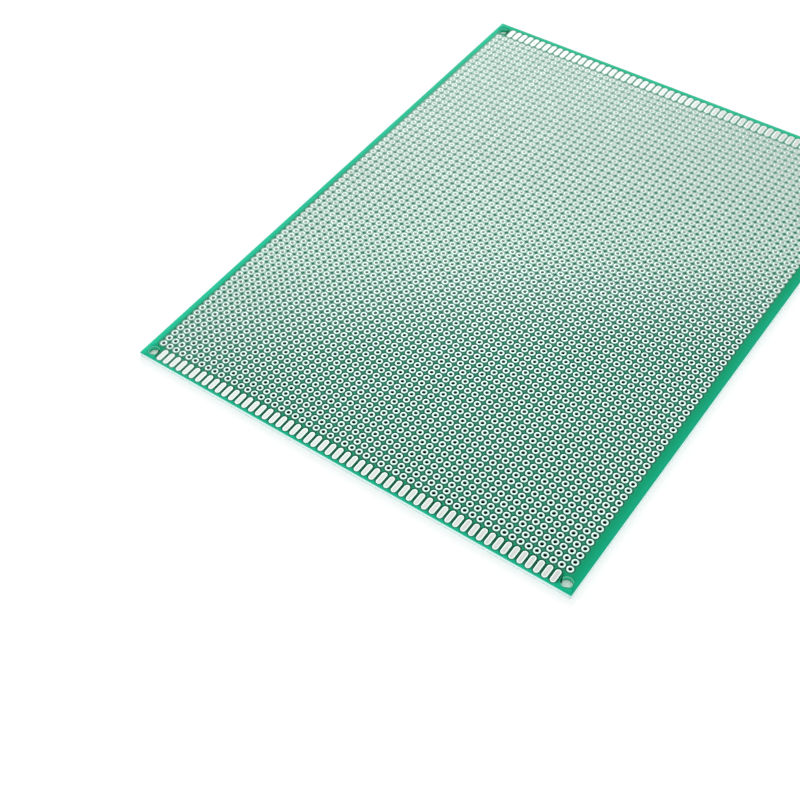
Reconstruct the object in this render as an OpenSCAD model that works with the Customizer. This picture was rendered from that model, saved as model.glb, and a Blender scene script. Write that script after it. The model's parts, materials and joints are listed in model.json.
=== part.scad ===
// Bare prototyping board: a drilled glass-fibre laminate with a green solder mask on its upper
// face, a grid of tinned round pads, and a row of tinned finger pads along each short end.
// The origin is at the centre of the underside. X runs along the finger pads, Y along the
// length, and +Z is up through the pads. All sizes are in millimetres.

/* [Board] */
// Width of the board, along the rows of finger pads
board_w = 150; // [100:1:200]
// Length of the board, from one row of finger pads to the other
board_l = 200; // [100:1:260]
// Thickness of the board, measured over the tinned pads
board_t = 1.6; // [0.8:0.1:3.2]
// Thickness of the solder mask on the upper face
mask_t = 0.03; // [0.02:0.01:0.06]
// Thickness of a pad, its copper and tin together
pad_t = 0.07; // [0.07:0.01:0.2]

/* [Lead holes] */
// Spacing of the lead holes, both ways
pitch = 2.54; // [2.5:0.01:5.08]
// Diameter of a lead hole
lead_hole_d = 1.05; // [0.6:0.05:1.3]
// Diameter of the round pad at a lead hole
pad_d = 2.1; // [1.6:0.05:2.2]
// Least distance from the outer columns of lead holes to the long edges
side_margin = 3.3; // [2:0.1:8]
// Distance from the middle of the board to the middle of the grid, across the board
grid_shift = -0.5; // [-0.8:0.1:0.8]
// Rings of the grid that are drilled and plated, counted in from its outermost ring
drilled_rings = 4; // [1:1:8]

/* [Finger pads] */
// Width of a finger pad, along the board's short end
finger_w = 1.75; // [1.2:0.05:2.1]
// Length of a finger pad, its round ends included
finger_l = 4.45; // [3:0.05:8]
// Least gap between the finger pads and the nearest row of round pads
finger_row_gap = 0.6; // [0.3:0.05:2]
// Least gap between the last finger pad and the mask's edge at a corner hole
finger_hole_gap = 0.2; // [0.2:0.05:2]

/* [Corner holes] */
// Diameter of a corner hole, for an M3 screw
corner_hole_d = 3.2; // [2.2:0.1:4.2]
// Distance from a corner hole's axis to the nearer long edge
hole_inset_x = 3; // [3:0.1:6]
// Distance from a corner hole's axis to the nearer short edge, in a centred layout
hole_inset_y = 3.4; // [3.4:0.1:8]
// Shift of the pads and holes along the board, as one layout
layout_shift = -0.5; // [-0.8:0.1:0.8]

/* [Clearances] */
// Gap between a pad and the edge of its opening in the mask
pad_gap = 0.06; // [0.02:0.01:0.1]
// Width of bare laminate between a corner hole and the mask
hole_gap = 0.15; // [0.1:0.05:0.5]

/* [Hidden] */
$fn = 32;

laminate_t = board_t - pad_t;
hole_x = board_w / 2 - hole_inset_x;
hole_y = board_l / 2 - hole_inset_y;

// The grid takes as many columns and rows as fit between the margins.
grid_room_x = board_w - 2 * side_margin;
grid_room_y = 2 * (hole_y - finger_l / 2 - finger_row_gap) - pad_d;
columns = floor(grid_room_x / pitch) + 1;
rows = floor(grid_room_y / pitch) + 1;

// The finger pads lie either side of a middle one, between the two corner holes.
finger_room = hole_x - corner_hole_d / 2 - hole_gap - finger_hole_gap - finger_w / 2;
fingers_each_side = floor(finger_room / pitch);

// Puts its children at every drilled place of the grid, which is centred on the origin.
module at_lead_holes() {
  for (column = [0 : columns - 1], row = [0 : rows - 1]) {
    ring = min(column, row, columns - 1 - column, rows - 1 - row);
    if (ring < drilled_rings)
      translate([column - (columns - 1) / 2, row - (rows - 1) / 2] * pitch)
        translate([grid_shift, layout_shift])
          children();
  }
}

// Puts its children at the middle of every finger pad.
module at_fingers() {
  for (end = [-1, 1], place = [-fingers_each_side : fingers_each_side])
    translate([place * pitch, end * hole_y + layout_shift])
      children();
}

// Puts its children at the axes of the four corner holes.
module at_corner_holes() {
  for (side = [-1, 1], end = [-1, 1])
    translate([side * hole_x, end * hole_y + layout_shift])
      children();
}

module outline() {
  square([board_w, board_l], center = true);
}

// A slot shape with round ends, `margin` larger than a finger pad all round.
module finger_outline(margin = 0) {
  square([finger_w + 2 * margin, finger_l - finger_w], center = true);
  for (end = [-1, 1])
    translate([0, end * (finger_l - finger_w) / 2])
      circle(d = finger_w + 2 * margin);
}

// The glass-fibre sheet, drilled through for leads and for the screws at its corners.
module laminate() {
  color("honeydew")
    linear_extrude(laminate_t)
      difference() {
        outline();
        at_lead_holes() circle(d = lead_hole_d);
        at_corner_holes() circle(d = corner_hole_d);
      }
}

// The green film on the upper face, open round every pad and corner hole.
module solder_mask() {
  color("seagreen")
    translate([0, 0, laminate_t])
      linear_extrude(mask_t)
        difference() {
          outline();
          at_lead_holes() circle(d = pad_d + 2 * pad_gap);
          at_fingers() finger_outline(pad_gap);
          at_corner_holes() circle(d = corner_hole_d + 2 * hole_gap);
        }
}

// The tinned rings round the lead holes, each a solid of its own.
module round_pads() {
  color("gainsboro")
    translate([0, 0, laminate_t])
      linear_extrude(pad_t)
        difference() {
          at_lead_holes() circle(d = pad_d);
          at_lead_holes() circle(d = lead_hole_d);
        }
}

// The tinned contact pads along both short ends, each a solid of its own.
module finger_pads() {
  color("gainsboro")
    translate([0, 0, laminate_t])
      linear_extrude(pad_t)
        at_fingers() finger_outline();
}

laminate();
solder_mask();
round_pads();
finger_pads();
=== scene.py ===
"""Looks of a bare prototyping board: drilled laminate, green solder mask and tinned pads.

Every length is in metres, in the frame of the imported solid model: the origin is at the centre
of the board's underside, X runs along the finger pads, Y along the length and Z up.
"""

import json
import logging
import math
from dataclasses import dataclass
from enum import Enum

import bpy
import numpy as np
from mathutils import Matrix, Vector


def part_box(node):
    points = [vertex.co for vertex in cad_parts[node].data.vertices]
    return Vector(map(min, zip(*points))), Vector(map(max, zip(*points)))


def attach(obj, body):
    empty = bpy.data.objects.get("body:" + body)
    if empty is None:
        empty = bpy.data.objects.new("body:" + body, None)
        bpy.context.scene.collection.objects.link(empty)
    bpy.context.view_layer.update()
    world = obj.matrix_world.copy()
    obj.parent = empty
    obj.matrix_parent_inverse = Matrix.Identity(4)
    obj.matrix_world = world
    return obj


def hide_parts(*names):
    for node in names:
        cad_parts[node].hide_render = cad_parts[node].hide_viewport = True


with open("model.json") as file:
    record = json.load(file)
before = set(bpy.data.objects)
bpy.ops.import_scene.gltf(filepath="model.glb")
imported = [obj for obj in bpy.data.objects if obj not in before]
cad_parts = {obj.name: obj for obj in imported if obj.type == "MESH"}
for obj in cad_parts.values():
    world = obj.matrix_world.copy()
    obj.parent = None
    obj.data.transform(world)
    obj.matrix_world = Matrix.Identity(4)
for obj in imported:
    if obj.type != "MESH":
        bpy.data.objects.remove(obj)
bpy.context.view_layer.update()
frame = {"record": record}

MM = 0.001
log = logging.getLogger("board")

Colour = tuple[float, float, float]
Limits = tuple[float, float]  # where a change starts and where it is complete
Socket = bpy.types.NodeSocket

# Painted light: the surfaces are painted paler along the board's length and towards its left,
# and the twist makes the change across it weaker at the far end than at the near one.
PAINTED_LIGHT_MIDDLE = 0.53
PAINTED_LIGHT_ALONG = 0.67
PAINTED_LIGHT_ACROSS = 0.34
PAINTED_LIGHT_TWIST = 0.17


# ---- Sizes -----------------------------------------------------------------------------------


@dataclass(frozen=True)
class Box:
    """An upright box, by its lowest and highest corners."""

    low: Vector
    high: Vector

    @classmethod
    def of(cls, node: str) -> "Box":
        """Returns the box of one CAD node."""
        return cls(*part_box(node))


@dataclass(frozen=True)
class Layout:
    """Where everything stands on the board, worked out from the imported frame.

    Attributes:
        sheet: box of the laminate.
        pitch: spacing of the lead holes, both ways.
        columns: lead holes along X.
        rows: lead holes along Y.
        first: centre of the lead hole nearest the low corner.
        lead_radius: radius of a lead hole.
        pad_radius: outer radius of a round pad.
        corner_centres: the four corner holes' axes, anticlockwise from the low corner.
        corner_radius: radius of a corner hole.
        finger_size: width and length of a finger pad.
        fingers_each_side: finger pads either side of the middle one.
        mask_top: height of the mask's upper face.
        pad_top: height of a pad's crest.
        pad_gap: gap between a pad and the edge of its opening in the mask.
        corner_gap: width of bare laminate between a corner hole and the mask.
    """

    sheet: Box
    pitch: float
    columns: int
    rows: int
    first: Vector
    lead_radius: float
    pad_radius: float
    corner_centres: np.ndarray
    corner_radius: float
    finger_size: tuple[float, float]
    fingers_each_side: int
    mask_top: float
    pad_top: float
    pad_gap: float = 0.06 * MM
    corner_gap: float = 0.15 * MM

    @classmethod
    def from_frame(cls, record: dict, pitch: float) -> "Layout":
        """Reads the mounts and the nodes' boxes.

        Args:
            record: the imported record, whose mounts hold the hole patterns.
            pitch: spacing of the lead holes.

        Returns:
            The layout of the whole board.
        """
        mounts = {mount["name"]: mount for mount in record["mounts"]}
        grid, corners = mounts["lead_hole_grid"], mounts["corner_holes"]
        span = Vector((grid["dims"]["spacing_x_mm"], grid["dims"]["spacing_y_mm"])) * MM
        reach = np.array([corners["dims"]["spacing_x_mm"], corners["dims"]["spacing_y_mm"]])
        reach = reach * MM / 2
        signs = np.array([(-1, -1), (1, -1), (1, 1), (-1, 1)])
        pads, fingers = Box.of("round_pads"), Box.of("finger_pads")
        each_side = int(fingers.high.x / pitch)
        row_y = corners["pos_m"][1] + reach[1]
        return cls(
            sheet=Box.of("laminate"),
            pitch=pitch,
            columns=round(span.x / pitch) + 1,
            rows=round(span.y / pitch) + 1,
            first=Vector(grid["pos_m"][:2]) - span / 2,
            lead_radius=grid["dims"]["hole_r_mm"] * MM,
            pad_radius=(pads.high.x - pads.low.x - span.x) / 2,
            corner_centres=np.array(corners["pos_m"][:2]) + signs * reach,
            corner_radius=corners["dims"]["hole_r_mm"] * MM,
            finger_size=(2 * (fingers.high.x - each_side * pitch), 2 * (fingers.high.y - row_y)),
            fingers_each_side=each_side,
            mask_top=Box.of("solder_mask").high.z,
            pad_top=pads.high.z,
        )

    def lead_centres(self) -> np.ndarray:
        """Returns the lead holes' axes, in an array of columns by rows by 2."""
        x = self.first.x + self.pitch * np.arange(self.columns)
        y = self.first.y + self.pitch * np.arange(self.rows)
        return np.stack(np.meshgrid(x, y, indexing="ij"), axis=-1)

    def finger_centres(self) -> np.ndarray:
        """Returns the finger pads' middles, in an array of ends by places by 2."""
        x = self.pitch * np.arange(-self.fingers_each_side, self.fingers_each_side + 1)
        y = np.array([self.corner_centres[0, 1], self.corner_centres[2, 1]])
        return np.stack(np.broadcast_arrays(x[None, :], y[:, None]), axis=-1)


# ---- Meshes ----------------------------------------------------------------------------------


def regular_ring(sides: int, radius: float) -> np.ndarray:
    """Returns a ring of points that starts towards the low corner of a square cell.

    Point k stands at the angle k turns of 1 / sides, counted from -135 degrees. The radius is
    that of the circle inside the polygon, so that the polygon never cuts into the circle.

    Args:
        sides: number of points, a multiple of 4.
        radius: radius of the circle inside the polygon.

    Returns:
        The points about the origin, anticlockwise, in an array of sides by 2.
    """
    angle = math.tau * np.arange(sides) / sides - math.radians(135)
    reach = radius / math.cos(math.pi / sides)
    return reach * np.stack([np.cos(angle), np.sin(angle)], axis=-1)


def slot_ring(steps: int, width: float, length: float) -> np.ndarray:
    """Returns the outline of a slot with round ends, anticlockwise.

    The low end's half circle runs from 180 to 360 degrees and the high end's from 0 to 180,
    each about a centre half of (length - width) from the middle.

    Args:
        steps: points on each half circle, less one.
        width: distance between the straight sides.
        length: distance between the tips of the round ends.

    Returns:
        The points about the origin, in an array of 2 * (steps + 1) by 2.
    """
    low = math.pi + math.pi * np.arange(steps + 1) / steps
    angle = np.concatenate([low, low - math.pi])
    centre = np.repeat([-1, 1], steps + 1) * (length - width) / 2
    return np.stack([np.cos(angle) * width / 2, np.sin(angle) * width / 2 + centre], axis=-1)


class Sheet:
    """A flat sheet with holes, first drawn as polygons in the plane and then given a thickness.

    Points and polygons are kept as whole arrays. Polygons run anticlockwise, and those that
    meet share their points, so that the edges with one polygon are the outline and the holes.
    """

    def __init__(self) -> None:
        """Starts with no points and no polygons."""
        self.points = np.zeros((0, 2))
        self.polygons: list[np.ndarray] = []

    def add_points(self, points: np.ndarray) -> np.ndarray:
        """Adds points.

        Args:
            points: positions in the plane, in an array of any shape by 2.

        Returns:
            The points' numbers, in the array's own shape.
        """
        flat = points.reshape(-1, 2)
        numbers = len(self.points) + np.arange(len(flat))
        self.points = np.concatenate([self.points, flat])
        return numbers.reshape(points.shape[:-1])

    def add_polygons(self, numbers: np.ndarray) -> None:
        """Adds polygons, one for each run along the last axis."""
        self.polygons.append(numbers.reshape(-1, numbers.shape[-1]))

    def add_strip(self, inner: np.ndarray, outer: np.ndarray, outward: int) -> None:
        """Joins two rows of points with four-sided polygons.

        Args:
            inner: numbers of the points on the board's side, from low X to high.
            outer: numbers of the points facing them.
            outward: 1 where the outer row lies towards high Y, and -1 elsewhere.
        """
        strip = np.stack([inner[:-1], inner[1:], outer[1:], outer[:-1]], axis=-1)
        self.add_polygons(strip if outward > 0 else strip[:, ::-1])

    def fill_between(self, ring: np.ndarray, rim: np.ndarray, centre: np.ndarray) -> None:
        """Fills the region between a hole and a convex rim round it with triangles.

        The points of both loops are sorted by their angle about the centre. Each step to the
        next point of one loop makes a triangle with the last point passed on the other.

        Args:
            ring: numbers of the hole's points, anticlockwise.
            rim: numbers of the rim's points, anticlockwise.
            centre: a point inside the hole that every point of the rim is seen from.
        """
        angles = []
        for loop in (ring, rim):
            offset = self.points[loop] - centre
            angles.append(np.arctan2(offset[:, 1], offset[:, 0]))
        ring, rim = (loop[np.argsort(angle)] for loop, angle in zip((ring, rim), angles))
        ring_angle, rim_angle = (np.sort(angle) for angle in angles)
        seen_rim = np.searchsorted(rim_angle, ring_angle, side="right") - 1
        seen_ring = np.searchsorted(ring_angle, rim_angle, side="left") - 1
        last_ring, last_rim = np.roll(ring, 1), np.roll(rim, 1)
        self.add_polygons(np.stack([ring, last_ring, rim[seen_rim]], axis=-1))
        self.add_polygons(np.stack([last_rim, rim, ring[seen_ring]], axis=-1))

    def outline_edges(self) -> np.ndarray:
        """Finds the outline and the edges of the holes.

        Every polygon's edges are taken in its own direction. Where two polygons meet, each
        has the other's edge turned round, so an edge with no such partner is a free one.

        Returns:
            The free edges, as pairs of point numbers, in the direction of their polygon.
        """
        pairs = [np.stack([group, np.roll(group, -1, axis=1)], axis=-1).reshape(-1, 2)
                 for group in self.polygons]
        edges = np.concatenate(pairs)
        count = len(self.points)
        forward = edges[:, 0] * count + edges[:, 1]
        backward = edges[:, 1] * count + edges[:, 0]
        return edges[~np.isin(forward, backward)]

    def thicken(self, name: str, low: float, high: float) -> bpy.types.Object:
        """Makes the closed solid between two heights.

        The polygons are repeated at both heights, turned over at the lower one, and every
        outline edge carries a wall between them.

        Args:
            name: name of the new object.
            low: height of the lower face.
            high: height of the upper face.

        Returns:
            The new object.
        """
        count = len(self.points)
        faces = [group + count for group in self.polygons]
        faces += [group[:, ::-1] for group in self.polygons]
        edges = self.outline_edges()
        faces.append(np.concatenate([edges, edges[:, ::-1] + count], axis=1))
        levels = np.repeat([low, high], count)[:, None]
        vertices = np.concatenate([np.tile(self.points, (2, 1)), levels], axis=1)
        return mesh_object(name, vertices, faces)


def mesh_object(name: str, vertices: np.ndarray, groups: list[np.ndarray]) -> bpy.types.Object:
    """Makes a mesh object from whole arrays.

    Args:
        name: name of the object and of its mesh.
        vertices: positions, in an array of vertices by 3.
        groups: arrays of faces by corners, each of one number of corners.

    Returns:
        The new object, linked to the scene, at the origin.
    """
    sizes = np.concatenate([np.full(len(group), group.shape[1]) for group in groups])
    corners = np.concatenate([group.ravel() for group in groups])
    mesh = bpy.data.meshes.new(name)
    mesh.vertices.add(len(vertices))
    mesh.vertices.foreach_set("co", vertices.astype(np.float32).ravel())
    mesh.loops.add(len(corners))
    mesh.loops.foreach_set("vertex_index", corners.astype(np.int32))
    mesh.polygons.add(len(sizes))
    starts = np.concatenate([[0], np.cumsum(sizes)[:-1]])
    mesh.polygons.foreach_set("loop_start", starts.astype(np.int32))
    mesh.polygons.foreach_set("loop_total", sizes.astype(np.int32))
    mesh.update(calc_edges=True)
    mesh.validate()
    thing = bpy.data.objects.new(name, mesh)
    bpy.context.scene.collection.objects.link(thing)
    return thing


# ---- Shader maths ----------------------------------------------------------------------------


class Graph:
    """The node tree of one material or of the world, with short ways to add nodes to it."""

    def __init__(self, tree: bpy.types.NodeTree) -> None:
        """Empties the tree."""
        self.tree = tree
        tree.nodes.clear()

    def node(self, kind: str, settings: dict | None = None, inputs: dict | None = None
             ) -> bpy.types.Node:
        """Adds one node.

        Args:
            kind: the node's type name.
            settings: attributes that are set first, such as a Math node's operation.
            inputs: values or links of its sockets, by name or by number.

        Returns:
            The new node.
        """
        made = self.tree.nodes.new(kind)
        for key, value in (settings or {}).items():
            setattr(made, key, value)
        for key, value in (inputs or {}).items():
            self.feed(made.inputs[key], value)
        return made

    def feed(self, socket: Socket, value: object) -> None:
        """Gives a socket its value or its link.

        Args:
            socket: the socket that is fed.
            value: another socket or a Number to link, or a plain value.
        """
        source = value.socket if isinstance(value, Number) else value
        if isinstance(source, Socket):
            self.tree.links.new(source, socket)
        elif socket.type == "RGBA" and len(source) == 3:
            socket.default_value = (*source, 1.0)
        else:
            socket.default_value = source

    def point(self) -> Socket:
        """Returns the Object coordinates, in metres, as one vector."""
        return self.node("ShaderNodeTexCoord").outputs["Object"]

    def coordinates(self) -> tuple["Number", "Number", "Number"]:
        """Returns the three Object coordinates, in metres."""
        parts = self.node("ShaderNodeSeparateXYZ", inputs={"Vector": self.point()}).outputs
        return tuple(Number(self, part) for part in parts)

    def vector(self, x: object, y: object, z: object) -> Socket:
        """Joins three values into one vector."""
        inputs = {"X": x, "Y": y, "Z": z}
        return self.node("ShaderNodeCombineXYZ", inputs=inputs).outputs["Vector"]

    def noise(self, size: float, detail: float = 2.0, where: Socket | None = None) -> "Number":
        """Returns a noise of 0 to 1.

        Args:
            size: rough size of its blots.
            detail: octaves of finer blots that are laid over them.
            where: the vector that it is read at, or None for the Object coordinates.

        Returns:
            The noise.
        """
        vector = self.point() if where is None else where
        inputs = {"Scale": 1 / size, "Detail": detail, "Vector": vector}
        return Number(self, self.node("ShaderNodeTexNoise", inputs=inputs).outputs[0])

    def chance(self, where: Socket) -> "Number":
        """Returns one random number of 0 to 1 for each value of a vector."""
        made = self.node("ShaderNodeTexWhiteNoise", {"noise_dimensions": "3D"},
                         {"Vector": where})
        return Number(self, made.outputs["Value"])

    def blend(self, factor: object, first: object, second: object) -> Socket:
        """Mixes two colours.

        Args:
            factor: 0 where the first colour shows and 1 where the second does.
            first: a colour, or a socket that gives one.
            second: another.

        Returns:
            The socket that gives the mixture.
        """
        # A Mix node's colours are its inputs 6 and 7 and its output 2.
        settings = {"data_type": "RGBA", "clamp_factor": True}
        made = self.node("ShaderNodeMix", settings, {0: factor, 6: first, 7: second})
        return made.outputs[2]

    def bump(self, height: "Number", depth: float) -> Socket:
        """Returns the normal of a surface raised by `depth` times the height."""
        inputs = {"Height": height, "Distance": depth, "Strength": 1.0}
        return self.node("ShaderNodeBump", inputs=inputs).outputs["Normal"]


class Number:
    """A value that varies over a surface, with Python's arithmetic on it."""

    def __init__(self, graph: Graph, socket: Socket) -> None:
        """Wraps a socket of the graph."""
        self.graph = graph
        self.socket = socket

    def maths(self, operation: str, *others: object, own_place: int = 0) -> "Number":
        """Adds a Math node with this value among its inputs.

        Args:
            operation: what the node works out.
            others: its other values.
            own_place: this value's place among them, from 0.

        Returns:
            What the node gives.
        """
        values = list(others)
        values.insert(own_place, self)
        made = self.graph.node("ShaderNodeMath", {"operation": operation},
                               dict(enumerate(values)))
        return Number(self.graph, made.outputs[0])

    def __add__(self, other: object) -> "Number":
        """Returns self + other."""
        return self.maths("ADD", other)

    __radd__ = __add__

    def __sub__(self, other: object) -> "Number":
        """Returns self - other."""
        return self.maths("SUBTRACT", other)

    def __rsub__(self, other: object) -> "Number":
        """Returns other - self."""
        return self.maths("SUBTRACT", other, own_place=1)

    def __mul__(self, other: object) -> "Number":
        """Returns self * other."""
        return self.maths("MULTIPLY", other)

    __rmul__ = __mul__

    def __truediv__(self, other: object) -> "Number":
        """Returns self / other."""
        return self.maths("DIVIDE", other)

    def __abs__(self) -> "Number":
        """Returns the value without its sign."""
        return self.maths("ABSOLUTE")

    def above(self, limit: object) -> "Number":
        """Returns 1 where the value is over the limit and 0 elsewhere."""
        return self.maths("GREATER_THAN", limit)

    def least(self, other: object) -> "Number":
        """Returns the lesser of two values."""
        return self.maths("MINIMUM", other)

    def most(self, other: object) -> "Number":
        """Returns the greater of two values."""
        return self.maths("MAXIMUM", other)

    def reach(self, other: "Number") -> "Number":
        """Returns the length of the diagonal of two sides."""
        return (self * self + other * other).maths("SQRT")

    def nearest(self) -> "Number":
        """Returns the nearest whole number."""
        return self.maths("ROUND")

    def sine(self) -> "Number":
        """Returns the sine of the value in radians."""
        return self.maths("SINE")

    def ramp(self, start: float, end: float) -> "Number":
        """Makes a smooth step of the value.

        Args:
            start: value at which the step is still 0.
            end: value at which it has become 1, which may be the lower of the two.

        Returns:
            The step.
        """
        inputs = {"Value": self, "From Min": start, "From Max": end}
        made = self.graph.node("ShaderNodeMapRange", {"interpolation_type": "SMOOTHSTEP"},
                               inputs)
        return Number(self.graph, made.outputs["Result"])


def linear(red: int, green: int, blue: int) -> Colour:
    """Returns the linear colour of a screen colour given in parts of 255, by the sRGB curve."""
    return tuple(share / 12.92 if share <= 0.04045 else ((share + 0.055) / 1.055) ** 2.4
                 for share in (red / 255, green / 255, blue / 255))


@dataclass(frozen=True)
class Place:
    """Where a point of the surface lies among the holes, the pads and the board's edges.

    Every distance is in metres. All but the depth and the height are measured along the board.

    Attributes:
        graph: the node tree of the surface's material.
        layout: where the holes and pads stand.
        x: place across the board.
        y: place along the board.
        depth: distance below the laminate's upper face.
        height: distance above the laminate's lower face.
        lead: distance to the nearest lead hole's axis.
        stray: distance to that hole along X or Y, whichever is longer, in pitches. It is over
            a half only outside the grid's cells.
        cell: a vector that is the same all over one cell of the grid.
        corner: distance to the nearest corner hole's axis.
        finger: distance out from the nearest finger pad's outline, negative inside it.
        beyond: distance past the ends of the finger pads' straight sides, 0 beside them.
        haze: how strongly painted light pales the surfaces, steadily rising from under 0 at the
            near right corner to over 1 at the far left.
        veil: the same painted light, kept between 0 and 1 and eased at both ends.
    """

    graph: Graph
    layout: Layout
    x: Number
    y: Number
    depth: Number
    height: Number
    lead: Number
    stray: Number
    cell: Socket
    corner: Number
    finger: Number
    beyond: Number
    haze: Number
    veil: Number

    @classmethod
    def find(cls, graph: Graph, layout: Layout) -> "Place":
        """Works the place out from the Object coordinates.

        Along each axis the distance from the first lead hole, counted in pitches, is rounded
        to the nearest hole of the grid. What is left over is the distance to that hole. The
        finger pads are found in the same way. The board's two ends are alike, so the distance
        from the row's own line serves both.

        Args:
            graph: the material's node tree.
            layout: where the holes and pads stand.

        Returns:
            The place of every point of the surface.
        """
        x, y, z = graph.coordinates()
        low, high = layout.sheet.low, layout.sheet.high
        u, v = (x - layout.first.x) / layout.pitch, (y - layout.first.y) / layout.pitch
        column = u.nearest().most(0).least(layout.columns - 1)
        row = v.nearest().most(0).least(layout.rows - 1)
        corners = layout.corner_centres
        middle, half = (corners[2] + corners[0]) / 2, (corners[2] - corners[0]) / 2
        from_row = abs(abs(y - middle[1]) - half[1])
        last = layout.fingers_each_side
        finger_column = (x / layout.pitch).nearest().most(-last).least(last)
        width, length = layout.finger_size
        beyond = (from_row - (length - width) / 2).most(0)
        # Painted light: paler along the board and towards its left.
        along, across = y / high.y, x / high.x
        haze = along * PAINTED_LIGHT_ALONG - across * PAINTED_LIGHT_ACROSS + along * across * PAINTED_LIGHT_TWIST
        haze = haze + PAINTED_LIGHT_MIDDLE
        return cls(
            graph=graph,
            layout=layout,
            x=x,
            y=y,
            depth=high.z - z,
            height=z - low.z,
            lead=(u - column).reach(v - row) * layout.pitch,
            stray=abs(u - column).most(abs(v - row)),
            cell=graph.vector(column, row, 0.0),
            corner=(abs(x - middle[0]) - half[0]).reach(from_row),
            finger=(x - finger_column * layout.pitch).reach(beyond) - width / 2,
            beyond=beyond,
            haze=haze,
            veil=haze.ramp(0.0, 1.0),
        )

    def weave(self, threads: tuple[float, float]) -> Number:
        """Returns the relief of a plain weave, -1 to 1, from its spacings along X and Y."""
        across, along = (math.tau / spacing for spacing in threads)
        return (self.x * across).sine() * (self.y * along).sine()


class Finish:
    """What every finish shares: a new material whose one shader is a Principled BSDF.

    Attributes:
        name: name of the material.
    """

    name: str

    def material(self, layout: Layout) -> bpy.types.Material:
        """Makes the material.

        Args:
            layout: where the holes and pads stand, which the patterns follow.

        Returns:
            The new material.
        """
        made = bpy.data.materials.new(self.name)
        made.use_nodes = True
        graph = Graph(made.node_tree)
        shader = graph.node("ShaderNodeBsdfPrincipled")
        output = graph.node("ShaderNodeOutputMaterial")
        graph.feed(output.inputs["Surface"], shader.outputs["BSDF"])
        for socket, value in self.surface(Place.find(graph, layout)).items():
            graph.feed(shader.inputs[socket], value)
        return made

    def surface(self, place: Place) -> dict[str, object]:
        """Works out the finish.

        Args:
            place: where a point of the surface lies.

        Returns:
            The values and links of the shader's sockets, by the sockets' names.
        """
        raise NotImplementedError


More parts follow.
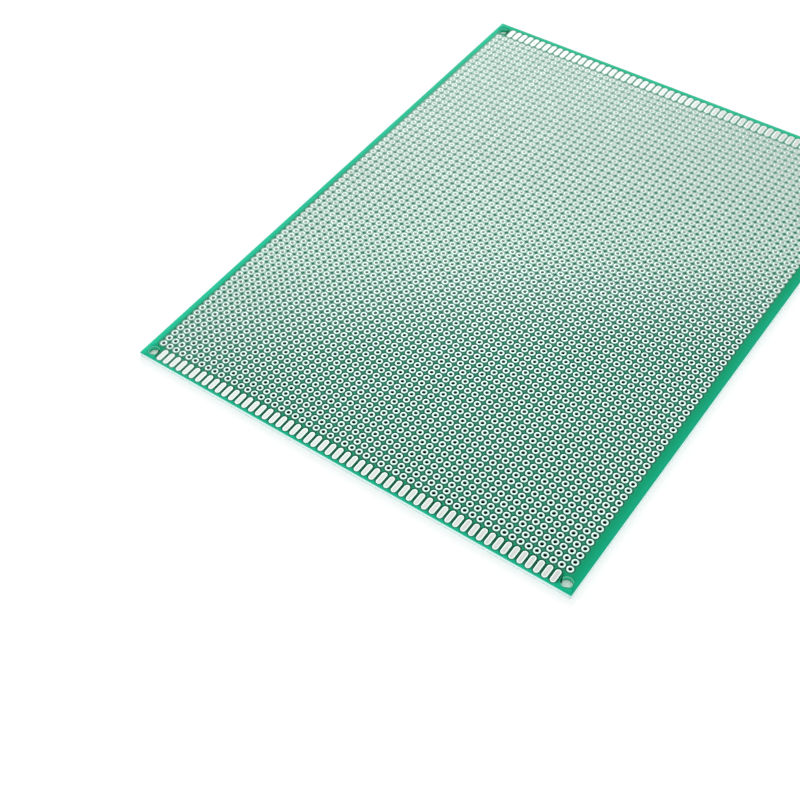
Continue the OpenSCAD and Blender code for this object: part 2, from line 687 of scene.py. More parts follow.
@dataclass(frozen=True)
class MaskFinish(Finish):
    """Green solder mask, with painted shade round and between the pads and a painted glow where
    light gets in at the edges.

    Attributes:
        open_green: colour of the wide margins.
        crowded_green: painted shade between the pads at the near right, a little darker than the
        margins, where less light gets into the laminate.
        crowded_stray: limits, in pitches, of what is coloured as between the pads.
        middle_shade_green: painted shade, darker still, between the pads in the middle.
        middle_veil: limits of the painted light over which it comes in.
        veiled_green: painted light, a pale colour between the pads towards the far left.
        veiled_haze: limits of the painted light over which it comes in.
        edge_mint: colour near the edges: a painted glow where light gets into the laminate under
            the film; the clouds also lay it on at random.
        glow: strength of the painted glow along the left, right, near and far edges, strongest at
            the left, where the light falls.
        glow_reach: how far in from the edge the mint fades out.
        glow_least: share of the mint that shows where there is no cloud.
        glow_cloud: share that a full cloud adds.
        pad_shade_green: painted shade of the film beside a pad.
        pad_shade_reach: how far out from an opening the painted shade fades out.
        pad_shade_share: strength of the painted shade.
        painted_rim_lost: how much of it a full glow takes away.
        flank_fade: how far beyond a finger pad's straight sides the painted shade is still wider
            than round its tips, so that the film is painted darker between the pads.
        flank_squeeze: how much shorter distances count there, as a share.
        lip_highlight: painted highlight in mint on the film's lip beside a pad, towards the far
            left.
        lip_highlight_reach: limits of the painted highlight, as distances out from an opening.
        lip_veil: limits of the painted light over which it comes in.
        cloud_sizes: sizes of the film's broad and fine clouds.
        cloud_mint: how much mint a full cloud brings.
        ripple: size of the ripples in the film.
        threads: spacings of the laminate's threads, which show through along X and Y.
        weave_share: height of the weave as a share of the ripples'.
        relief: height of the ripples.
        roughness: roughness where there is no cloud.
        cloud_roughness: what a full cloud adds.
        gloss: the shader's specular level.
    """

    name: str = "green_solder_mask"
    open_green: Colour = linear(2, 154, 108)
    crowded_green: Colour = linear(30, 144, 108)
    crowded_stray: Limits = (0.64, 0.5)
    middle_shade_green: Colour = linear(20, 120, 88)
    middle_veil: Limits = (0.0, 0.5)
    veiled_green: Colour = linear(136, 177, 160)
    veiled_haze: Limits = (0.6, 1.3)
    edge_mint: Colour = linear(10, 206, 163)
    glow: tuple[float, float, float, float] = (1.0, 0.4, 0.6, 0.8)
    glow_reach: float = 2.6 * MM
    glow_least: float = 0.7
    glow_cloud: float = 0.6
    pad_shade_green: Colour = linear(6, 46, 32)
    pad_shade_reach: float = 0.55 * MM
    pad_shade_share: float = 0.85
    painted_rim_lost: float = 0.5
    flank_fade: float = 0.6 * MM
    flank_squeeze: float = 0.35
    lip_highlight: Colour = linear(206, 242, 228)
    lip_highlight_reach: Limits = (0.26 * MM, 0.13 * MM)
    lip_veil: Limits = (0.02, 0.7)
    cloud_sizes: tuple[float, float] = (14 * MM, 2.5 * MM)
    cloud_mint: float = 0.25
    ripple: float = 0.8 * MM
    threads: tuple[float, float] = (0.45 * MM, 0.5 * MM)
    weave_share: float = 0.12
    relief: float = 0.006 * MM
    roughness: float = 0.3
    cloud_roughness: float = 0.12
    gloss: float = 0.1

    def surface(self, place: Place) -> dict[str, object]:
        """Works out the finish.

        Args:
            place: where a point of the surface lies.

        Returns:
            The values and links of the shader's sockets, by the sockets' names.
        """
        graph, layout = place.graph, place.layout
        low, high = layout.sheet.low, layout.sheet.high
        broad, fine = self.cloud_sizes
        cloud = graph.noise(broad, detail=3.0) * 0.5 + graph.noise(fine) * 0.5
        # Painted shade between the pads, darker towards the middle.
        between = graph.blend(place.veil.ramp(*self.middle_veil), self.crowded_green,
                              self.middle_shade_green)
        # Painted light pales the film between the pads towards the far left.
        between = graph.blend(place.haze.ramp(*self.veiled_haze), between, self.veiled_green)
        colour = graph.blend(place.stray.ramp(*self.crowded_stray), self.open_green, between)
        # Painted glow along the edges, where light gets into the laminate.
        edges = (place.x - low.x, high.x - place.x, place.y - low.y, high.y - place.y)
        left, right, near, far = (edge.ramp(self.glow_reach, 0.0) * strength
                                  for edge, strength in zip(edges, self.glow))
        glow = left.most(right).most(near).most(far)
        glow = glow * (self.glow_least + cloud * self.glow_cloud)
        colour = graph.blend(glow, colour, self.edge_mint)
        # Painted shade round the pads, wider between the finger pads.
        round_pad = place.lead - layout.pad_radius
        flank = place.beyond.ramp(self.flank_fade, 0.0)
        drawn = round_pad.least(place.finger * (1 - flank * self.flank_squeeze))
        rim = (drawn - layout.pad_gap).ramp(self.pad_shade_reach, 0.0)
        rim = rim * (self.pad_shade_share - glow * self.painted_rim_lost)
        colour = graph.blend(rim, colour, self.pad_shade_green)
        # Painted highlight on the film's lip beside the pads, towards the far left.
        beside = round_pad.least(place.finger) - layout.pad_gap
        lip = beside.ramp(*self.lip_highlight_reach) * place.veil.ramp(*self.lip_veil)
        colour = graph.blend(lip, colour, self.lip_highlight)
        colour = graph.blend((cloud - 0.5) * self.cloud_mint, colour, self.edge_mint)
        relief = graph.noise(self.ripple) + place.weave(self.threads) * self.weave_share
        return {
            "Base Color": colour,
            "Roughness": self.roughness + cloud * self.cloud_roughness,
            "Specular IOR Level": self.gloss,
            "Normal": graph.bump(relief, self.relief),
        }


@dataclass(frozen=True)
class LaminateFinish(Finish):
    """Glass-fibre epoxy: pale, slightly cyan, with its plies along the cut edges, and painted
    light and shade at the mask's edge, round the pads and in the holes.

    Attributes:
        pale: colour of the cut edges.
        shade: colour of the fibres that show darker.
        fibre: size of the fibres' pattern.
        fibre_squeeze: how much its distances are changed along the board and through it.
        fibre_level: value of the pattern over which a fibre shows.
        ply: thickness of one woven ply.
        ply_shade: how much a ply's middle is shaded.
        crown_mint: colour of the cut edges just under the mask: painted glow of the light that
            the
        mask tints there.
        crown_depth: limits of the mint, as depths.
        skin: limits of what belongs to the upper or the lower face alone, as distances
            from it.
        gap_shade_green: bare upper face in the gaps round the pads, darkened as painted shade.
        rim_mint: colour of the bare upper face round the corner holes.
        rim_radii: radius of that rim, in radii of the hole.
        under: colour of the underside, through which the mask shows.
        lead_top: colour of a lead hole's wall at the top, greyed by painted shade.
        lead_shade: painted shade of its wall further down.
        lead_shade_depth: limits of the painted shade, as depths.
        lead_veiled: painted light, a pale colour of its wall towards the far left.
        lead_veil: limits of the painted light over which that comes in.
        lead_foot_shade: limits, as heights, of the part with painted shade all over the board.
        lead_radii: radius within which a wall is a lead hole's, in radii of the hole.
        corner_wall_shade: colour of the corner holes' walls: painted shade, tinted green.
        corner_radii: radius within which a wall is a corner hole's, in radii of the hole.
        threads: spacings of the threads along X and Y.
        weave_share: height of the weave as a share of the fibres'.
        ply_share: height of the plies as a share of the fibres'.
        relief: height of the fibres.
        roughness: roughness between the fibres.
        fibre_roughness: what a full fibre adds.
        gloss: the shader's specular level.
    """

    name: str = "glass_fibre_epoxy"
    pale: Colour = linear(236, 255, 253)
    shade: Colour = linear(190, 236, 226)
    fibre: float = 0.25 * MM
    fibre_squeeze: tuple[float, float] = (0.25, 2.0)
    fibre_level: float = 0.42
    ply: float = 0.19 * MM
    ply_shade: float = 0.08
    crown_mint: Colour = linear(50, 216, 186)
    crown_depth: Limits = (0.6 * MM, 0.0)
    skin: Limits = (0.02 * MM, 0.01 * MM)
    gap_shade_green: Colour = linear(58, 132, 106)
    rim_mint: Colour = linear(128, 212, 182)
    rim_radii: float = 1.3
    under: Colour = linear(206, 224, 196)
    lead_top: Colour = linear(140, 160, 150)
    lead_shade: Colour = linear(3, 24, 16)
    lead_shade_depth: Limits = (0.0, 0.5 * MM)
    lead_veiled: Colour = linear(240, 252, 246)
    lead_veil: Limits = (0.05, 1.0)
    lead_foot_shade: Limits = (0.3 * MM, 0.15 * MM)
    lead_radii: float = 1.12
    corner_wall_shade: Colour = linear(48, 198, 158)
    corner_radii: float = 1.02
    threads: tuple[float, float] = (0.9 * MM, 1.0 * MM)
    weave_share: float = 0.3
    ply_share: float = 0.2
    relief: float = 0.015 * MM
    roughness: float = 0.5
    fibre_roughness: float = 0.2
    gloss: float = 0.25

    def surface(self, place: Place) -> dict[str, object]:
        """Works out the finish.

        Args:
            place: where a point of the surface lies.

        Returns:
            The values and links of the shader's sockets, by the sockets' names.
        """
        graph, layout = place.graph, place.layout
        depth, height = place.depth, place.height
        plies = (depth * (math.tau / self.ply)).sine() * 0.5 + 0.5
        flat, deep = self.fibre_squeeze
        squeezed = graph.vector(place.x * flat, place.y * flat, depth * deep)
        fibres = graph.noise(self.fibre, detail=3.0, where=squeezed)
        shade = (fibres - self.fibre_level).most(0) + plies * self.ply_shade
        colour = graph.blend(shade, self.pale, self.shade)
        # Painted mint glow on the cut edges just under the mask.
        colour = graph.blend(depth.ramp(*self.crown_depth), colour, self.crown_mint)
        # The bare face beside the pads carries painted shade; round the corner holes it is mint.
        near_corner = (layout.corner_radius * self.rim_radii - place.corner).above(0)
        bare = graph.blend(near_corner, self.gap_shade_green, self.rim_mint)
        colour = graph.blend(depth.ramp(*self.skin), colour, bare)
        colour = graph.blend(height.ramp(*self.skin), colour, self.under)
        # Painted shade inside the lead holes, deepening downwards and dark at the foot.
        hollow = graph.blend(depth.ramp(*self.lead_shade_depth), self.lead_top, self.lead_shade)
        # Painted light fills the holes towards the far left.
        hollow = graph.blend(place.veil.ramp(*self.lead_veil), hollow, self.lead_veiled)
        hollow = graph.blend(height.ramp(*self.lead_foot_shade), hollow, self.lead_shade)
        inside = depth.above(self.skin[0]) * height.above(self.skin[0])
        in_lead = (layout.lead_radius * self.lead_radii - place.lead).above(0) * inside
        colour = graph.blend(in_lead, colour, hollow)
        # Painted green-tinted shade on the corner holes' walls.
        in_corner = (layout.corner_radius * self.corner_radii - place.corner).above(0) * inside
        colour = graph.blend(in_corner, colour, self.corner_wall_shade)
        relief = fibres + place.weave(self.threads) * self.weave_share + plies * self.ply_share
        return {
            "Base Color": colour,
            "Roughness": self.roughness + fibres * self.fibre_roughness,
            "Specular IOR Level": self.gloss,
            "Normal": graph.bump(relief, self.relief),
        }


@dataclass(frozen=True)
class TinFinish(Finish):
    """Levelled tin: bright, with soft ripples and a slightly different sheen on each pad, painted
    shade at the hole's edge and painted light towards the far left.

    Attributes:
        bright: colour of the clean tin.
        dull: colour of its duller blots.
        dull_blots: limits of the blots' value over which the tin turns dull.
        blot: size of the blots.
        own_shade: how much a pad's own value adds to the blots'.
        veiled: painted light, a greyer colour of the clean tin towards the far left.
        veiled_limits: limits of the painted light over which it comes in.
        mouth_shade: painted shade at the tin's edge by the lead hole.
        mouth_shade_reach: how far out from the hole the painted shade fades out.
        mouth_shade_share: strength of the painted shade.
        relief: height of the ripples.
        roughness: roughness of clean tin.
        own_roughness: the most that a pad's own value adds.
        dull_roughness: what full dullness adds.
    """

    name: str = "round_pad_tin"
    bright: Colour = linear(224, 253, 246)
    dull: Colour = linear(208, 238, 230)
    dull_blots: Limits = (0.35, 0.95)
    blot: float = 0.7 * MM
    own_shade: float = 0.1
    veiled: Colour = linear(200, 212, 206)
    veiled_limits: Limits = (0.1, 1.1)
    mouth_shade: Colour = linear(70, 96, 84)
    mouth_shade_reach: float = 0.12 * MM
    mouth_shade_share: float = 0.8
    relief: float = 0.012 * MM
    roughness: float = 0.3
    own_roughness: float = 0.05
    dull_roughness: float = 0.12

    def surface(self, place: Place) -> dict[str, object]:
        """Works out the finish.

        Args:
            place: where a point of the surface lies.

        Returns:
            The values and links of the shader's sockets, by the sockets' names.
        """
        graph = place.graph
        own = graph.chance(place.cell)
        blots = graph.noise(self.blot, detail=3.0)
        shade = (blots + own * self.own_shade).ramp(*self.dull_blots)
        tin = graph.blend(shade, self.bright, self.dull)
        varied = own * self.own_roughness + shade * self.dull_roughness
        return {
            "Base Color": self.tint(place, tin),
            "Metallic": 1.0,
            "Roughness": self.roughness + varied,
            "Normal": graph.bump(blots, self.relief),
        }

    def tint(self, place: Place, colour: Socket) -> Socket:
        """Paints light on the tin, greyer towards the far left, and shade at the hole's edge.

        Args:
            place: where a point of the surface lies.
            colour: the tin's own colour.

        Returns:
            The socket that gives the final colour.
        """
        blend = place.graph.blend
        # Painted shade where the tin runs down into the hole.
        mouth_shade = (place.lead - place.layout.lead_radius).ramp(self.mouth_shade_reach, 0.0)
        colour = blend(mouth_shade * self.mouth_shade_share, colour, self.mouth_shade)
        # Painted light greys the tin towards the far left.
        return blend(place.veil.ramp(*self.veiled_limits), colour, self.veiled)


@dataclass(frozen=True)
class FingerTinFinish(TinFinish):
    """Tin on the finger pads: a flat, nearly neutral grey face inside a rounded rim, with painted
    light on the face and a painted highlight on the rim.

    Attributes:
        bright: colour of the clean face.
        dull: colour of its duller blots.
        dull_blots: limits of the blots' value over which the face turns dull.
        pale: painted light, a paler colour of the face at the board's left.
        left_light_share: strength of that painted light at the left edge.
        veiled: painted light, a greyer colour of the face towards the far end.
        veiled_limits: limits of the painted light over which it comes in.
        rim: colour of the painted highlight on the rim.
        rim_highlight_limits: limits of the painted highlight, as distances out from the outline.
        painted_rim_lost: share of the painted highlight that is lost at the far end.
    """

    name: str = "finger_pad_tin"
    bright: Colour = linear(219, 221, 219)
    dull: Colour = linear(203, 204, 203)
    dull_blots: Limits = (0.15, 0.75)
    pale: Colour = linear(222, 226, 223)
    left_light_share: float = 0.9
    veiled: Colour = linear(186, 185, 185)
    veiled_limits: Limits = (0.7, 1.5)
    rim: Colour = linear(234, 255, 249)
    rim_highlight_limits: Limits = (-0.42 * MM, -0.21 * MM)
    painted_rim_lost: float = 0.5

    def tint(self, place: Place, colour: Socket) -> Socket:
        """Paints light on the face, paler to the left and greyer to the far end, and lays the
        rim's painted highlight over it.

        Args:
            place: where a point of the surface lies.
            colour: the tin's own colour.

        Returns:
            The socket that gives the final colour.
        """
        blend, sheet = place.graph.blend, place.layout.sheet
        # Painted light: paler to the left and greyer to the far end.
        leftward = place.x.ramp(sheet.high.x, sheet.low.x)
        colour = blend(leftward * self.left_light_share, colour, self.pale)
        far = place.haze.ramp(*self.veiled_limits)
        colour = blend(far, colour, self.veiled)
        # Painted highlight along the rounded rim.
        rim = place.finger.ramp(*self.rim_highlight_limits) * (1 - far * self.painted_rim_lost)
        return blend(rim, colour, self.rim)


# ---- Sub-assemblies --------------------------------------------------------------------------


class Slot(Enum):
    """The CAD nodes that the new pieces stand for, which are hidden in their place."""

    LAMINATE = "laminate"
    MASK = "solder_mask"
    ROUND = "round_pads"
    FINGER = "finger_pads"


def dress(piece: bpy.types.Object, material: bpy.types.Material, slot: Slot
          ) -> bpy.types.Object:
    """Finishes a piece, mounts it on the board and lets it stand for its node.

    Args:
        piece: the new piece.
        material: its one material.
        slot: names the node that the piece stands for, which is hidden.

    Returns:
        The piece.
    """
    piece.data.materials.clear()
    piece.data.materials.append(material)
    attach(piece, "root")
    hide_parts(slot.value)
    return piece


@dataclass
class PerforatedSheets:
    """The laminate and the solder mask on it, which share one division into cells.

    Attributes:
        layout: where everything stands.
        hole_sides: sides of a lead hole and of a round pad's opening, a multiple of 4.
        corner_sides: sides of a corner hole, a multiple of 4.
        slot_steps: sides on each round end of a finger pad's opening.
        landing: width of the strip that leads from the grid's cells to the finger pads' cells.
    """

    layout: Layout
    hole_sides: int = 8
    corner_sides: int = 40
    slot_steps: int = 6
    landing: float = 0.12 * MM

    def drill_grid(self, sheet: Sheet, radius: float) -> np.ndarray:
        """Draws the grid's square cells, each with a hole in its middle.

        A cell's side, the two rays from its ends to the hole and a quarter of the hole make
        one polygon, so four of them fill the cell.

        Args:
            sheet: the sheet to draw on.
            radius: radius of the holes.

        Returns:
            The numbers of the cells' corner points, in an array of columns + 1 by rows + 1.
        """
        centres = self.layout.lead_centres()
        half = self.layout.pitch / 2
        x = np.append(centres[:, 0, 0] - half, centres[-1, 0, 0] + half)
        y = np.append(centres[0, :, 1] - half, centres[0, -1, 1] + half)
        corners = sheet.add_points(np.stack(np.meshgrid(x, y, indexing="ij"), axis=-1))
        ring = regular_ring(self.hole_sides, radius)
        rings = sheet.add_points(centres[:, :, None, :] + ring)
        square = np.stack([corners[:-1, :-1], corners[1:, :-1],
                           corners[1:, 1:], corners[:-1, 1:]], axis=-1)
        quarter = self.hole_sides // 4
        for side in range(4):
            arc = (side * quarter + np.arange(quarter, -1, -1)) % self.hole_sides
            ends = square[:, :, [side, (side + 1) % 4]]
            sheet.add_polygons(np.concatenate([ends, rings[:, :, arc]], axis=-1))
        return corners

    def draw_margins(self, sheet: Sheet, corners: np.ndarray, corner_radius: float,
                     finger_margin: float | None) -> None:
        """Draws what lies outside the grid: the long margins, the finger rows and the corners.

        Args:
            sheet: the sheet to draw on.
            corners: numbers of the corner points of the grid's cells.
            corner_radius: radius of the corner holes.
            finger_margin: how much wider than a finger pad its opening is all round, or None
                for a sheet with no such openings.
        """
        low, high = self.layout.sheet.low, self.layout.sheet.high
        heights = sheet.points[corners[0], 1]
        left = sheet.add_points(np.stack([np.full_like(heights, low.x), heights], axis=-1))
        right = sheet.add_points(np.stack([np.full_like(heights, high.x), heights], axis=-1))
        for outer, inner in ((left, corners[0]), (corners[-1], right)):
            sheet.add_polygons(np.stack([outer[:-1], inner[:-1], inner[1:], outer[1:]], axis=-1))
        for end, edge_y in ((0, low.y), (1, high.y)):
            near = np.concatenate([left[[-end]], corners[:, -end], right[[-end]]])
            self.draw_end(sheet, near, end, edge_y, corner_radius, finger_margin)

    def draw_end(self, sheet: Sheet, near: np.ndarray, end: int, edge_y: float,
                 corner_radius: float, finger_margin: float | None) -> None:
        """Draws one short end, between the grid's outer row of cells and the board's edge.

        The finger pads' cells are a pitch wide, with the finger pad in the middle. A narrow
        landing joins them to the grid's cells, which stand a little to one side, and a
        triangle squares off each end of it. What is left at both sides holds a corner hole.

        Args:
            sheet: the sheet to draw on.
            near: numbers of the points along the grid's side of the strip, from low X to high.
            end: 0 at the low end and 1 at the high end.
            edge_y: place of the board's edge.
            corner_radius: radius of the corner hole.
            finger_margin: how much wider than a finger pad its opening is all round, or None.
        """
        outward = 2 * end - 1
        fingers = self.layout.finger_centres()[end]
        half = self.layout.pitch / 2
        lines = np.append(fingers[:, 0] - half, fingers[-1, 0] + half)
        landing_y = sheet.points[near[0], 1] + outward * self.landing
        shelf = sheet.add_points(np.stack([lines, np.full_like(lines, landing_y)], axis=-1))
        edge = sheet.add_points(np.stack([lines, np.full_like(lines, edge_y)], axis=-1))
        skipped = (len(near) - len(lines)) // 2
        inner = near[skipped:len(near) - skipped]
        sheet.add_strip(inner, shelf, outward)
        if finger_margin is None:
            sheet.add_strip(shelf, edge, outward)
        else:
            self.add_slots(sheet, shelf, edge, fingers, finger_margin, outward)
        ends = np.array([[near[skipped - 1], near[skipped], shelf[0]],
                         [near[-skipped - 1], near[-skipped], shelf[-1]]])
        sheet.add_polygons(ends if outward > 0 else ends[:, ::-1])
        width = self.layout.sheet.high.x - self.layout.sheet.low.x
        tips = sheet.add_points(np.array([(-width / 2, edge_y), (width / 2, edge_y)]))
        low_rim = np.concatenate([near[:skipped], shelf[[0]], edge[[0]], tips[[0]]])
        high_rim = np.concatenate([near[-skipped:], tips[[1]], edge[[-1]], shelf[[-1]]])
        holes = self.layout.corner_centres[[0, 1] if end == 0 else [3, 2]]
        for rim, centre in ((low_rim, holes[0]), (high_rim, holes[1])):
            ring = sheet.add_points(centre + regular_ring(self.corner_sides, corner_radius))
            sheet.fill_between(ring, rim, centre)

    def add_slots(self, sheet: Sheet, shelf: np.ndarray, edge: np.ndarray,
                  fingers: np.ndarray, margin: float, outward: int) -> None:
        """Draws the finger pads' cells, each with a slot in its middle.

        Every cell is filled in the same way, so one is worked out and the rest repeat it.

        Args:
            sheet: the sheet to draw on.
            shelf: numbers of the points on the grid's side.
            edge: numbers of the points on the board's edge.
            fingers: the finger pads' middles.
            margin: how much wider than a finger pad its opening is all round.
            outward: 1 where the edge lies towards high Y, and -1 elsewhere.
        """
        width, length = (size + 2 * margin for size in self.layout.finger_size)
        slot = slot_ring(self.slot_steps, width, length)
        rings = sheet.add_points(fingers[:, None, :] + slot)
        low, high = (shelf, edge) if outward > 0 else (edge, shelf)
        cells = np.stack([low[:-1], low[1:], high[1:], high[:-1]], axis=-1)
        model = Sheet()
        ring = model.add_points(slot)
        rim = model.add_points(sheet.points[cells[0]] - fingers[0])
        model.fill_between(ring, rim, np.zeros(2))
        own_points = np.concatenate([rings, cells], axis=1)
        for group in model.polygons:
            sheet.add_polygons(own_points[:, group])

    def build(self) -> list[bpy.types.Object]:
        """Makes and dresses both sheets, and returns them."""
        layout = self.layout
        sheet = Sheet()
        corners = self.drill_grid(sheet, layout.lead_radius)
        self.draw_margins(sheet, corners, layout.corner_radius, None)
        laminate_top = layout.sheet.high.z
        laminate = sheet.thicken("laminate_sheet", layout.sheet.low.z, laminate_top)
        dress(laminate, LaminateFinish().material(layout), Slot.LAMINATE)
        film = Sheet()
        corners = self.drill_grid(film, layout.pad_radius + layout.pad_gap)
        opened = layout.corner_radius + layout.corner_gap
        self.draw_margins(film, corners, opened, layout.pad_gap)
        mask = film.thicken("solder_mask_film", laminate_top, layout.mask_top)
        dress(mask, MaskFinish().material(layout), Slot.MASK)
        return [laminate, mask]


@dataclass
class RoundPads:
    """The tinned rings round the lead holes, in bands along the board.

    Attributes:
        layout: where everything stands.
        sides: sides of a pad.
        shoulder: width of the slopes at a pad's rim and at its hole.
        crease: angle between faces in degrees, over which their edge is sharp.
        unevenness: how much lower than the highest a pad may be, as a share.
        seed: start of the random heights.
        bands: number of pieces that the rows are shared between.
    """

    layout: Layout
    sides: int = 12
    shoulder: float = 0.1 * MM
    crease: float = 40.0
    unevenness: float = 0.3
    seed: int = 7
    bands: int = 4

    def profile(self) -> np.ndarray:
        """Returns the section through one side of a pad, as radius and share of its height."""
        outer, inner = self.layout.pad_radius, self.layout.lead_radius
        return np.array([(outer, 0.0), (outer - self.shoulder, 1.0), (inner + self.shoulder, 1.0),
                         (inner, 0.0)])

    def mesh(self, name: str, centres: np.ndarray, heights: np.ndarray) -> bpy.types.Object:
        """Turns the profile about every centre and closes it underneath.

        A point is the centre plus its radius in the direction of the angle, and its height is
        the profile's share of that pad's own height.

        Args:
            name: name of the new object.
            centres: the pads' middles, in an array of pads by 2.
            heights: the pads' own heights.

        Returns:
            The new object.
        """
        section = self.profile()
        angle = math.tau * (np.arange(self.sides) + 0.5) / self.sides
        direction = np.stack([np.cos(angle), np.sin(angle)], axis=-1)
        flat = centres[:, None, None, :] + section[None, :, None, :1] * direction
        rise = heights[:, None, None] * section[None, :, None, 1] + self.layout.sheet.high.z
        rise = np.broadcast_to(rise, flat.shape[:-1])[..., None]
        vertices = np.concatenate([flat, rise], axis=-1)
        count, rings, sides, _ = vertices.shape
        number = np.arange(count * rings * sides).reshape(count, rings, sides)
        turn = np.roll(number, -1, axis=2)
        inward, inward_turn = np.roll(number, -1, axis=1), np.roll(turn, -1, axis=1)
        faces = np.stack([number, turn, inward_turn, inward], axis=-1).reshape(-1, 4)
        made = mesh_object(name, vertices.reshape(-1, 3), [faces])
        under = np.tile(np.repeat(np.arange(rings) == rings - 1, sides), count)
        made.data.polygons.foreach_set("use_smooth", ~under)
        made.data.set_sharp_from_angle(angle=math.radians(self.crease))
        return made

    def build(self) -> list[bpy.types.Object]:
        """Makes and dresses the bands, and returns them."""
        layout = self.layout
        draw = np.random.default_rng(self.seed)
        full = layout.pad_top - layout.sheet.high.z
        centres = layout.lead_centres()
        heights = full * (1 - self.unevenness * draw.random(centres.shape[:2]))
        material = TinFinish().material(layout)
        pieces = []
        for band, rows in enumerate(np.array_split(np.arange(layout.rows), self.bands)):
            piece = self.mesh(f"round_pads_band_{band + 1}", centres[:, rows].reshape(-1, 2),
                              heights[:, rows].ravel())
            pieces.append(dress(piece, material, Slot.ROUND))
        return pieces


@dataclass
class FingerPads:
    """The tinned contact pads along both short ends.

    Attributes:
        layout: where everything stands.
        steps: sides on each round end.
        shoulder: width of the slope up to the crest of the tin's rounded rim.
        levels: the outlines from the foot over the crest to the sunken middle, each by how
            far in it lies, in shoulders, and its share of the pad's height.
    """

    layout: Layout
    steps: int = 8
    shoulder: float = 0.14 * MM
    levels: tuple[tuple[float, float], ...] = ((0.0, 0.0), (0.35, 0.8), (1.0, 1.0), (2.4, 0.88))

    def build(self) -> list[bpy.types.Object]:
        """Makes and dresses the pads.

        Each pad is a stack of slot outlines with walls between them. One polygon closes the
        lowest and one the highest.

        Returns:
            The one piece that holds all the pads.
        """
        layout = self.layout
        width, length = layout.finger_size
        height = layout.pad_top - layout.sheet.high.z
        insets, shares = np.array(self.levels).T
        outlines = np.stack([slot_ring(self.steps, width - 2 * inset, length - 2 * inset)
                             for inset in insets * self.shoulder])
        rise = layout.sheet.high.z + height * shares
        rise = np.broadcast_to(rise[:, None, None], (*outlines.shape[:2], 1))
        stack = np.concatenate([outlines, rise], axis=-1)
        centres = layout.finger_centres().reshape(-1, 2)
        centres = np.concatenate([centres, np.zeros((len(centres), 1))], axis=1)
        vertices = centres[:, None, None, :] + stack
        count, rings, sides, _ = vertices.shape
        number = np.arange(count * rings * sides).reshape(count, rings, sides)
        turn = np.roll(number, -1, axis=2)
        walls = np.stack([number[:, :-1], turn[:, :-1], turn[:, 1:], number[:, 1:]], axis=-1)
        caps = np.concatenate([number[:, -1], number[:, 0, ::-1]])
        piece = mesh_object("finger_pad_rows", vertices.reshape(-1, 3),
                            [walls.reshape(-1, 4), caps])
        smooth = np.arange(len(piece.data.polygons)) < walls.size // 4
        piece.data.polygons.foreach_set("use_smooth", smooth)
        return [dress(piece, FingerTinFinish().material(layout), Slot.FINGER)]


# ---- Stage -----------------------------------------------------------------------------------


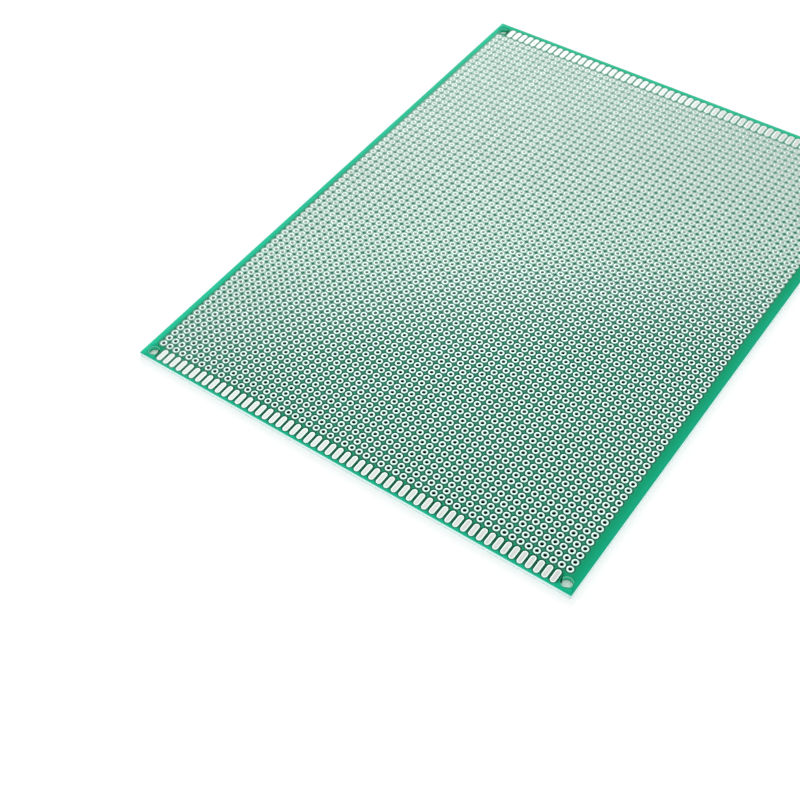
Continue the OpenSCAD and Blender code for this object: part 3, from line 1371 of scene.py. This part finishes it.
@dataclass
class Stage:
    """The camera, the lights and the pale floor.

    Attributes:
        target: the point in the middle of the picture.
        azimuth: degrees that the camera stands round towards +X from straight in front.
        elevation: degrees that it stands above the floor.
        roll: degrees that it is turned about its own axis.
        distance: from the target to the camera.
        lens: focal length in millimetres.
        sensor: width of the sensor in millimetres.
        near_clip: nearest distance that the camera sees.
        sky: strength of the even light from all round.
        key_place: middle of the key light.
        key_size: side of the key light.
        key_power: power of the key light in watts.
        floor_reach: from the middle of the floor to its sides.
        floor_white: brightness of the floor.
    """

    target: tuple[float, float, float] = (0.57 * MM, -71.5 * MM, 1.6 * MM)
    azimuth: float = 37.85
    elevation: float = 50.05
    roll: float = -2.88
    distance: float = 387.8 * MM
    lens: float = 60.46
    sensor: float = 36.0
    near_clip: float = 10 * MM
    sky: float = 1.0
    key_place: tuple[float, float, float] = (-0.8, 1.15, 0.85)
    key_size: float = 0.6
    key_power: float = 3.0
    floor_reach: float = 6.0
    floor_white: float = 0.98

    def make_camera(self) -> None:
        """Makes the camera and points it at the target.

        The azimuth and the elevation give the way back from the target to the camera. The
        roll turns the level line across the picture about that way.
        """
        azimuth, elevation, roll = map(math.radians, (self.azimuth, self.elevation, self.roll))
        back = Vector((math.sin(azimuth) * math.cos(elevation),
                       -math.cos(azimuth) * math.cos(elevation), math.sin(elevation)))
        level = Vector((math.cos(azimuth), math.sin(azimuth), 0))
        upright = back.cross(level)
        right = level * math.cos(roll) + upright * math.sin(roll)
        data = bpy.data.cameras.new("camera")
        data.sensor_width = self.sensor
        data.lens = self.lens
        data.clip_start = self.near_clip
        camera = bpy.data.objects.new("camera", data)
        bpy.context.scene.collection.objects.link(camera)
        turned = Matrix((right, back.cross(right), back)).transposed().to_4x4()
        place = Vector(self.target) + back * self.distance
        camera.matrix_world = Matrix.Translation(place) @ turned
        bpy.context.scene.camera = camera

    def make_sky(self) -> None:
        """Lights the scene evenly from all round, with a sky that shows as plain white."""
        world = bpy.data.worlds.new("sky")
        world.use_nodes = True
        bpy.context.scene.world = world
        graph = Graph(world.node_tree)
        light = graph.node("ShaderNodeBackground", inputs={
            "Color": (1, 1, 1), "Strength": self.sky})
        graph.node("ShaderNodeOutputWorld", inputs={"Surface": light.outputs[0]})

    def make_key_light(self) -> None:
        """Adds a square soft light that faces the middle of the board."""
        data = bpy.data.lights.new("key_light", "AREA")
        data.size = self.key_size
        data.energy = self.key_power
        lamp = bpy.data.objects.new("key_light", data)
        bpy.context.scene.collection.objects.link(lamp)
        place = Vector(self.key_place)
        turned = place.to_track_quat("Z", "Y").to_matrix().to_4x4()
        lamp.matrix_world = Matrix.Translation(place) @ turned

    def make_floor(self) -> None:
        """Lays a white floor under the board."""
        corners = np.array([(-1, -1, 0), (1, -1, 0), (1, 1, 0), (-1, 1, 0)]) * self.floor_reach
        floor = mesh_object("floor", corners, [np.array([[0, 1, 2, 3]])])
        material = bpy.data.materials.new("white_floor")
        material.use_nodes = True
        graph = Graph(material.node_tree)
        white = graph.node("ShaderNodeBsdfDiffuse", inputs={"Color": (self.floor_white,) * 3})
        graph.node("ShaderNodeOutputMaterial", inputs={"Surface": white.outputs[0]})
        floor.data.materials.append(material)

    def build(self) -> None:
        """Makes everything that isn't part of the board."""
        self.make_camera()
        self.make_sky()
        self.make_key_light()
        self.make_floor()
        bpy.context.scene.view_settings.view_transform = "Standard"


def main() -> None:
    """Builds the board and its stage."""
    logging.basicConfig(level=logging.INFO, format="%(name)s: %(message)s")
    layout = Layout.from_frame(frame["record"], pitch=2.54 * MM)
    log.info("%d by %d lead holes", layout.columns, layout.rows)
    Stage().build()
    for assembly in (PerforatedSheets(layout), RoundPads(layout), FingerPads(layout)):
        for piece in assembly.build():
            triangles = sum(len(polygon.vertices) - 2 for polygon in piece.data.polygons)
            log.info("%s: %d triangles", piece.name, triangles)


if __name__ == "__main__":
    main()
